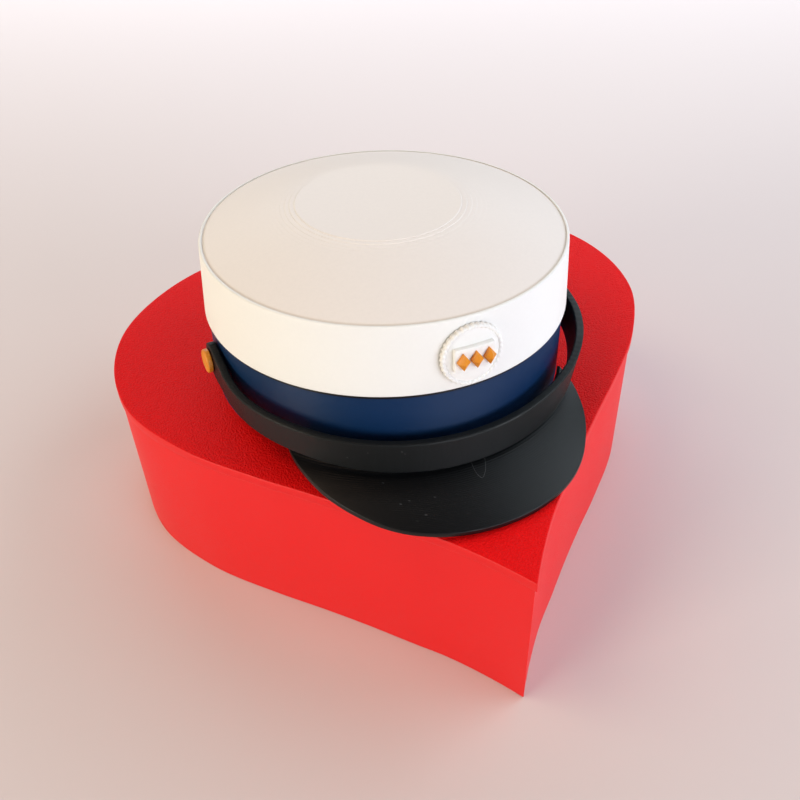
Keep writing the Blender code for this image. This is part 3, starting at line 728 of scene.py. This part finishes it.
badge = {
    "height": 9.5, "radius": 8.3, "thickness": 1.3, "border": 1.3, "recess": 0.3, "teeth": 36, "tooth": 0.5,
    "plaqueWidth": 10.6, "plaqueHeight": 6.2, "plaqueThickness": 1.0, "plaqueCorner": 0.5, "plaqueEdge": 0.25,
    "gemWidth": 3.1, "gemHeight": 4.4, "gemBase": 0.6, "gemPeak": 1.1, "gemTip": 0.4, "gemSpace": 0.2,
    "gap": 0.3,
    # the crown's wall leans evenly from this far above its foot to this far under its top
    "wallMargin": 0.7,
    # the border: a bulge's turn from and to in degrees, how it twists, thins and is cut in between teeth
    "ropeTurn": (-20, 160), "ropeTwist": 1.6, "ropeThin": 0.2, "ropeCut": 0.3, "ropeRows": 15,
    "toothSteps": 12,
    # radii of the back's rows and of the floor's inner rows, the floor's first row inside the border, and
    # the height of the side's upper row
    "backRadii": (0.1, 4.0, 7.0), "floorRadii": (5.5, 3.0, 0.1), "floorIn": 0.25, "sideTop": 0.45,
    # darkness of the painted shade at the disc's foot, width and height of that shade, darkness and width of
    # the painted shade between its teeth
    "footShade": 0.2, "footWidth": 1.0, "footHeight": 0.5, "toothShade": 0.18, "toothWidth": 0.35,
    # the plaque's inset at its top, its lift off the disc's floor, and the darkness and height of the painted
    # shade at its foot
    "plaqueInset": 2.0, "plaqueLift": 0.02, "plaqueShade": 0.2, "plaqueShadeTop": 0.3, "plaqueSteps": 97,
    "plaqueCornerSteps": 7, "plaqueEdgeSteps": 5,
    # a gem's lift, its bevel as a share of its size and in height, and the points round it
    "gemLift": 0.02, "gemShare": 0.94, "gemBevel": 0.12, "gemSteps": 33,
}


def onCrown(across, up, out):
    # a place on the crown's front: across and up from the badge's middle, out from the leaning face
    c = crown
    height = badge["height"] + up
    share = (height - badge["wallMargin"]) / (c["top"] - c["bottom"] - 2 * badge["wallMargin"])
    radius = c["radius"] + (c["rimRadius"] - c["radius"]) * share + badge["gap"] + out
    return polar(radius, across / (c["radius"] + badge["gap"]), c["bottom"] + height)


def makeCockade():
    # rings of a disc; its border is a bulge that ripples once for each tooth, twisted like a rope
    b = badge
    around = np.linspace(0, 2 * np.pi, b["teeth"] * b["toothSteps"], endpoint=False)[None, :]
    lobe = 0.5 + 0.5 * np.cos(b["teeth"] * around)
    floor, inner = b["thickness"] - b["recess"], b["radius"] - b["border"]
    t = np.radians(np.linspace(*b["ropeTurn"], b["ropeRows"]))[:, None]
    twist = 0.5 + 0.5 * np.cos(b["teeth"] * around + b["ropeTwist"] * np.cos(t))
    bulge = b["border"] / 2 * (1 - b["ropeThin"] * (1 - twist))
    rimR = (b["radius"] + inner) / 2 + bulge * np.cos(t)
    rimR = rimR - b["ropeCut"] * b["tooth"] * (1 - lobe) * np.clip(np.cos(t), 0, 1)
    rimOut = b["thickness"] - b["border"] / 2 + bulge * np.sin(t)
    sideR = (b["radius"] - b["tooth"] / 2 * (1 - lobe)) * np.ones((2, 1))
    flat = 0 * around
    backR = np.array(b["backRadii"])[:, None] + flat
    floorR = np.array([inner - b["floorIn"], *b["floorRadii"]])[:, None] + flat
    radius = np.vstack([backR, sideR, rimR, floorR])
    out = np.vstack([0 * backR, np.array([[0.0], [b["sideTop"]]]) + flat, rimOut, floor + 0 * floorR])
    # painted shade round the disc's foot and between its teeth
    foot = b["footShade"] * ((radius > b["radius"] - b["footWidth"]) & (out < b["footHeight"]))
    between = b["toothShade"] * (1 - lobe) * (radius > b["radius"] - b["toothWidth"])
    grid = capPlace(onCrown(radius * np.cos(around), radius * np.sin(around), out))
    marks = {"shade": foot + between}
    return surface("cockadeDisc", grid, finishes["white"], "cockade", sharp=50, marks=marks)


def makePlaque():
    # a rounded rectangle's outline, drawn in over its top edge
    b = badge
    halfW, halfH, soft = b["plaqueWidth"] / 2, b["plaqueHeight"] / 2, b["plaqueCorner"]
    quarter = arc(halfW - soft, halfH - soft, soft, 0, 90, b["plaqueCornerSteps"])
    outline = np.vstack([quarter, (quarter * (-1, 1))[::-1], quarter * (-1, -1), (quarter * (1, -1))[::-1]])
    outline = evenly(np.vstack([outline, outline[:1]]), b["plaqueSteps"])[:-1]
    base = b["thickness"] - b["recess"] + b["plaqueLift"]
    top = b["thickness"] - b["recess"] + b["gap"] + b["plaqueThickness"]
    over = arc(b["plaqueEdge"], top - b["plaqueEdge"], b["plaqueEdge"], 180, 90, b["plaqueEdgeSteps"])
    steps = np.vstack([[(0, base)], over, [(b["plaqueInset"], top)]])
    shrink, flat = 1 - steps[:, :1] / halfH, 0 * outline[:, 0]
    grid = capPlace(onCrown(outline[:, 0] * shrink, outline[:, 1] * shrink, steps[:, 1:] + flat))
    # painted shade along the plaque's foot
    marks = {"shade": b["plaqueShade"] * (steps[:, 1:] < base + b["plaqueShadeTop"]) + flat}
    return surface("badgePlaque", grid, finishes["white"], "cockade_plaque", sharp=50, marks=marks)


def makeGem(name, place, stands):
    # a pointed lozenge: four corners, straight sides, then faces that lean in to a small flat
    b = badge
    halfW, halfH = b["gemWidth"] / 2, b["gemHeight"] / 2
    corners = np.array([(halfW, 0), (0, halfH), (-halfW, 0), (0, -halfH), (halfW, 0)])
    outline = evenly(corners, b["gemSteps"])[:-1]
    floor = b["thickness"] - b["recess"] + b["gap"] + b["plaqueThickness"]
    side = b["gap"] + b["gemBase"]
    layers = np.array([
        (1, b["gemLift"]), (1, side), (b["gemShare"], side + b["gemBevel"]),
        (b["gemTip"] / b["gemWidth"], side + b["gemPeak"]),
    ])
    middle = place * (b["gemWidth"] + b["gemSpace"])
    across = middle + layers[:, :1] * outline[:, 0]
    grid = onCrown(across, layers[:, :1] * outline[:, 1], floor + layers[:, 1:] + 0 * across)
    return surface(name, capPlace(grid), finishes["gold"], stands, sharp=25)


makeCockade()
makePlaque()
makeGem("badgeGemLeft", 1, "badge_stud_left")
makeGem("badgeGemMiddle", 0, "badge_stud_middle")
makeGem("badgeGemRight", -1, "badge_stud_right")
print("badge made")

studio = {
    "world": (1.0, 0.97, 0.96), "worldStrength": 0.01, "floor": (0.690, 0.594, 0.583), "floorRough": 0.6,
    "floorHalf": 3.0, "aimHeight": 0.05,
}
# Soft lamps: degrees to the right of the camera's side, degrees up, metres away, size in metres, watts.
# The floor's own lamp is aimed at the floor, ahead metres past the cap
lamps = {
    "keyRight": {
        "turn": 45, "up": 14, "far": 1.1, "size": (0.9, 0.4), "power": 8.9, "colour": (0.87, 0.92, 1.0),
    },
    "keyLeft": {
        "turn": -52, "up": 14, "far": 1.1, "size": (0.5, 0.4), "power": 6.6, "colour": (1.0, 0.98, 0.82),
    },
    "topSoft": {
        "turn": -90, "up": 60, "far": 1.2, "size": (0.6, 0.6), "power": 4.2, "colour": (1.0, 0.70, 0.50),
    },
    "fillRight": {
        "turn": 100, "up": 40, "far": 1.1, "size": (0.9, 0.7), "power": 6.9, "colour": (0.78, 0.87, 0.93),
    },
    "fillLeft": {
        "turn": -100, "up": 25, "far": 1.1, "size": (0.9, 0.7), "power": 2.2, "colour": (1.0, 0.96, 0.70),
    },
    "floorGlow": {
        "turn": 180, "up": 80, "far": 0.45, "size": (1.4, 0.3), "power": 9.5, "colour": (0.79, 0.90, 0.98),
        "ahead": 0.75,
    },
}
# The camera: its place in mm, its angles in degrees, its lens and sensor in mm, its near end in metres
view = {
    "place": (-83.307, -199.721, 228.607), "turn": 23.5, "pitch": 41.823, "roll": 2.1435, "lens": 42.75,
    "sensor": 36, "near": 0.01,
}


def makeFloor():
    half = studio["floorHalf"]
    corners = [(-half, -half, 0), (half, -half, 0), (half, half, 0), (-half, half, 0)]
    mesh = bpy.data.meshes.new("floor")
    mesh.from_pydata(corners, [], [(0, 1, 2, 3)])
    made = bpy.data.materials.new("paleFloor")
    made.use_nodes = True
    shader = made.node_tree.nodes["Principled BSDF"]
    shader.inputs["Base Color"].default_value = (*studio["floor"], 1)
    shader.inputs["Roughness"].default_value = studio["floorRough"]
    mesh.materials.append(made)
    floor = bpy.data.objects.new("floor", mesh)
    bpy.context.scene.collection.objects.link(floor)


def makeLamp(name, turn, up, far, size, power, colour, ahead=0.0):
    # aimed at the cap's foot, or at the floor ahead metres past it, at an angle to the camera's direction
    look, turn, up = math.radians(view["turn"]), math.radians(turn), math.radians(up)
    forward = Vector((math.sin(look), math.cos(look), 0))
    right = Vector((math.cos(look), -math.sin(look), 0))
    aim = forward * ahead + Vector((0, 0, 0.0 if ahead else studio["aimHeight"]))
    level = right * math.sin(turn) - forward * math.cos(turn)
    toLamp = level * math.cos(up) + Vector((0, 0, math.sin(up)))
    data = bpy.data.lights.new(name, "AREA")
    data.shape = "RECTANGLE"
    data.size, data.size_y = size
    data.energy = power
    data.color = colour
    lamp = bpy.data.objects.new(name, data)
    lamp.location = aim + toLamp * far
    lamp.rotation_euler = (-toLamp).to_track_quat("-Z", "Y").to_euler()
    bpy.context.scene.collection.objects.link(lamp)


def makeCamera():
    # right, down and ahead from the turn, pitch and roll; the camera looks along its own -Z
    turn, pitch, roll = (math.radians(view[key]) for key in ("turn", "pitch", "roll"))
    right = np.array([math.cos(turn), -math.sin(turn), 0])
    level = np.array([math.sin(turn), math.cos(turn), 0])
    ahead = math.cos(pitch) * level - math.sin(pitch) * np.array([0, 0, 1])
    down = np.cross(ahead, right)
    turned = math.cos(roll) * right + math.sin(roll) * down
    down = math.cos(roll) * down - math.sin(roll) * right
    data = bpy.data.cameras.new("camera")
    data.sensor_width = view["sensor"]
    data.lens = view["lens"]
    data.clip_start = view["near"]
    camera = bpy.data.objects.new("camera", data)
    axes = np.column_stack([turned, -down, -ahead, np.array(view["place"]) * mm])
    camera.matrix_world = Matrix([list(row) for row in np.vstack([axes, [0, 0, 0, 1]])])
    bpy.context.scene.collection.objects.link(camera)
    bpy.context.scene.camera = camera


makeFloor()
for name, values in lamps.items():
    makeLamp(name, **values)
world = bpy.data.worlds.new("studioAir")
world.use_nodes = True
world.node_tree.nodes["Background"].inputs["Color"].default_value = (*studio["world"], 1)
world.node_tree.nodes["Background"].inputs["Strength"].default_value = studio["worldStrength"]
bpy.context.scene.world = world
bpy.context.scene.view_settings.view_transform = "Standard"
makeCamera()
print("studio made")
